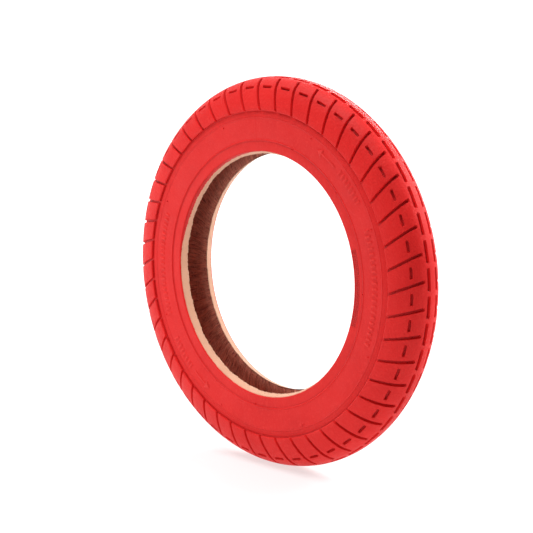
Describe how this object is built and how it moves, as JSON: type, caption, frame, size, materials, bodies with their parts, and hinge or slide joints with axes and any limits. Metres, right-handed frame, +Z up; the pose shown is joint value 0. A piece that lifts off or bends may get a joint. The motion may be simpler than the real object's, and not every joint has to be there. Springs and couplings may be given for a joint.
{
  "type": "pneumatic tyre",
  "caption": "Red pneumatic tyre for a small child's wheel, with a round crown, slotted block tread, plain sidewalls, tan canvas bead strips and steel wire beads.",
  "frame": {"origin": "centre of the wheel, on the tyre's axle line, midway between the two beads", "axes": "+Y along the axle line from the left side to the right side, +Z up, +X forward"},
  "size_m": [0.317, 0.0418, 0.317],
  "materials": {
    "tread_rubber": "moulded red rubber, soft sheen",
    "wall_rubber": "moulded red rubber, fine mould rings",
    "cord_fabric": "rubberised cord fabric, brown",
    "chafer_canvas": "tan rubberised canvas",
    "filler_rubber": "hard dark rubber",
    "bead_steel": "bronze-coated steel wire"
  },
  "bodies": {
    "root": {"tread": "tread_rubber", "sidewall_left": "wall_rubber", "sidewall_right": "wall_rubber", "ply_outer": "cord_fabric", "ply_inner": "cord_fabric", "chafer_left": "chafer_canvas", "chafer_right": "chafer_canvas", "bead_filler_left": "filler_rubber", "bead_filler_right": "filler_rubber", "bead_wire_left_1": "bead_steel", "bead_wire_left_2": "bead_steel", "bead_wire_left_3": "bead_steel", "bead_wire_left_4": "bead_steel", "bead_wire_left_5": "bead_steel", "bead_wire_left_6": "bead_steel", "bead_wire_right_1": "bead_steel", "bead_wire_right_2": "bead_steel", "bead_wire_right_3": "bead_steel", "bead_wire_right_4": "bead_steel", "bead_wire_right_5": "bead_steel", "bead_wire_right_6": "bead_steel"}
  },
  "joints": []
}
